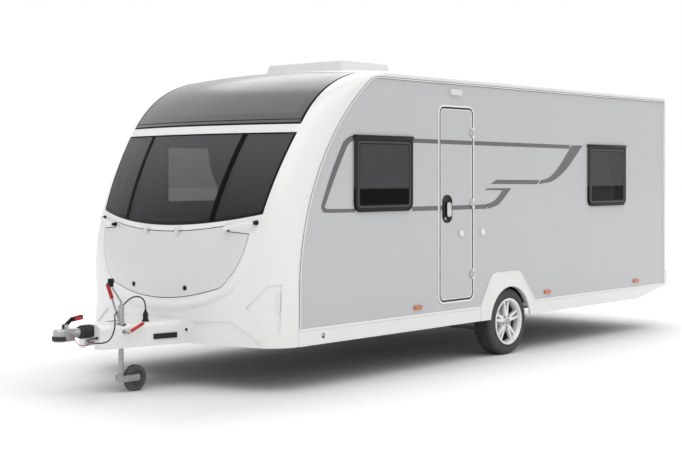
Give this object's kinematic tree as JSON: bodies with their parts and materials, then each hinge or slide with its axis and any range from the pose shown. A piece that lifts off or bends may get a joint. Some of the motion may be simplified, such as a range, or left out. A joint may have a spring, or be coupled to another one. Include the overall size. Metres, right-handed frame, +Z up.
{
  "type": "travel caravan",
  "caption": "Touring caravan with rounded glazed nose, hinged entrance door, gas locker lid, corner steadies, overrun coupling and castoring jockey wheel.",
  "frame": {"origin": "on the ground under the middle of the overall box", "axes": "+X forward towards the coupling, +Y to the left, +Z up"},
  "size_m": [7.2806, 2.279, 2.588],
  "materials": {
    "floor_board": "sealed ply",
    "white_skin": "gloss white sheet",
    "white_moulding": "gloss white moulding",
    "grey_moulding": "metallic grey moulding",
    "tinted_glass": "dark tinted acrylic",
    "red_lens": "red lens",
    "clear_lens": "clear lens",
    "amber_lens": "amber lens",
    "black_trim": "black trim",
    "dark_frame": "dark grey frame",
    "liner_board": "liner",
    "bright_rail": "anodised rail",
    "dome_plastic": "opal dome",
    "galvanised": "galvanised steel",
    "black_rubber": "black rubber",
    "red_cable": "red coated cable",
    "cabinet_wood": "veneered board",
    "seat_fabric": "woven seat fabric",
    "curtain_cloth": "woven curtain",
    "tyre": "tyre rubber",
    "alloy": "silver alloy",
    "lever_black": "black grip"
  },
  "bodies": {
    "body": {"floor_panel": "floor_board", "side_wall_left": "white_skin", "side_wall_right": "white_skin", "roof_panel": "white_skin", "rear_panel": "white_moulding", "rear_window": "tinted_glass", "rear_lamps": "red_lens", "front_surround": "white_moulding", "front_bumper": "white_moulding", "front_windows": "tinted_glass", "front_window_trim": "black_trim", "sunroof_frame": "dark_frame", "sunroof_glass": "tinted_glass", "gas_locker_liner": "liner_board", "awning_rails": "bright_rail", "skirts": "white_moulding", "wheel_spats": "white_moulding", "side_windows": "tinted_glass", "door_frame": "white_skin", "hatch_frame": "white_skin", "wall_fittings": "white_moulding", "awning_lamp": "black_trim", "roof_lights": "dome_plastic", "marker_lamps": "amber_lens", "front_markers": "clear_lens", "grab_handles": "white_moulding", "chassis_members": "galvanised", "drawbar_legs": "galvanised", "cross_members": "galvanised", "axle_beam": "galvanised", "wheel_boxes": "black_trim", "overrun_housing": "galvanised", "coupling_rubbers": "black_rubber", "coupling_head": "galvanised", "a_frame_fairing": "white_moulding", "fairing_fittings": "black_trim", "jockey_tube": "galvanised", "plug_lead": "black_rubber", "lead_plug": "black_trim", "breakaway_cable": "red_cable", "furniture": "cabinet_wood", "cushions": "seat_fabric", "curtains": "curtain_cloth"},
    "wheel_left": {"left_tyre": "tyre", "left_rim": "alloy"},
    "wheel_right": {"right_tyre": "tyre", "right_rim": "alloy"},
    "door": {"entrance_door": "white_skin", "door_fittings": "black_trim"},
    "gas_lid": {"gas_locker_lid": "grey_moulding"},
    "hatch": {"service_hatch": "white_skin"},
    "coupling_handle": {"coupling_lever": "lever_black"},
    "handbrake": {"handbrake_lever": "lever_black"},
    "jockey_slide": {"jockey_stem": "galvanised"},
    "jockey_caster": {"jockey_fork": "galvanised"},
    "jockey_roller": {"jockey_wheel": "black_rubber"},
    "steady_front_left_leg": {"steady_front_left": "galvanised"},
    "steady_front_right_leg": {"steady_front_right": "galvanised"},
    "steady_rear_left_leg": {"steady_rear_left": "galvanised"},
    "steady_rear_right_leg": {"steady_rear_right": "galvanised"}
  },
  "joints": [
    {"name": "wheel_left_spin", "type": "hinge", "parent": "body", "child": "wheel_left", "pos_m": [-0.52973, 1.0045, 0.298], "axis": [0, 1, 0], "continuous": true},
    {"name": "wheel_right_spin", "type": "hinge", "parent": "body", "child": "wheel_right", "pos_m": [-0.52973, -1.0045, 0.298], "axis": [0, 1, 0], "continuous": true},
    {"name": "entrance_door_swing", "type": "hinge", "parent": "body", "child": "door", "pos_m": [0.06227, 1.13, 1.37], "axis": [0, 0, 1], "range_deg": [0, 165]},
    {"name": "gas_lid_lift", "type": "hinge", "parent": "body", "child": "gas_lid", "pos_m": [2.62927, 0, 1.203], "axis": [0, -1, 0], "range_deg": [0, 65]},
    {"name": "service_hatch_swing", "type": "hinge", "parent": "body", "child": "hatch", "pos_m": [-2.77873, -1.13, 0.73], "axis": [0, 0, -1], "range_deg": [0, 165]},
    {"name": "coupling_lever_lift", "type": "hinge", "parent": "body", "child": "coupling_handle", "pos_m": [3.53728, 0, 0.522], "axis": [0, 1, 0], "range_deg": [0, 50]},
    {"name": "handbrake_release", "type": "hinge", "parent": "body", "child": "handbrake", "pos_m": [2.96227, -0.076, 0.47], "axis": [0, 1, 0], "range_deg": [0, 43]},
    {"name": "jockey_raise", "type": "slide", "parent": "body", "child": "jockey_slide", "axis": [0, 0, 1], "range_m": [0, 0.125]},
    {"name": "jockey_swivel", "type": "hinge", "parent": "jockey_slide", "child": "jockey_caster", "pos_m": [3.11928, 0.12, 0.12], "axis": [0, 0, 1], "continuous": true},
    {"name": "jockey_roll", "type": "hinge", "parent": "jockey_caster", "child": "jockey_roller", "pos_m": [2.98928, 0.12, 0.0975], "axis": [0, 1, 0], "continuous": true},
    {"name": "steady_front_left_fold", "type": "hinge", "parent": "body", "child": "steady_front_left_leg", "pos_m": [2.00228, 0.7, 0.372], "axis": [0, -1, 0], "range_deg": [0, 40]},
    {"name": "steady_front_right_fold", "type": "hinge", "parent": "body", "child": "steady_front_right_leg", "pos_m": [2.00228, -0.7, 0.372], "axis": [0, -1, 0], "range_deg": [0, 40]},
    {"name": "steady_rear_left_fold", "type": "hinge", "parent": "body", "child": "steady_rear_left_leg", "pos_m": [-3.19773, 0.7, 0.372], "axis": [0, 1, 0], "range_deg": [0, 40]},
    {"name": "steady_rear_right_fold", "type": "hinge", "parent": "body", "child": "steady_rear_right_leg", "pos_m": [-3.19773, -0.7, 0.372], "axis": [0, 1, 0], "range_deg": [0, 40]}
  ]
}
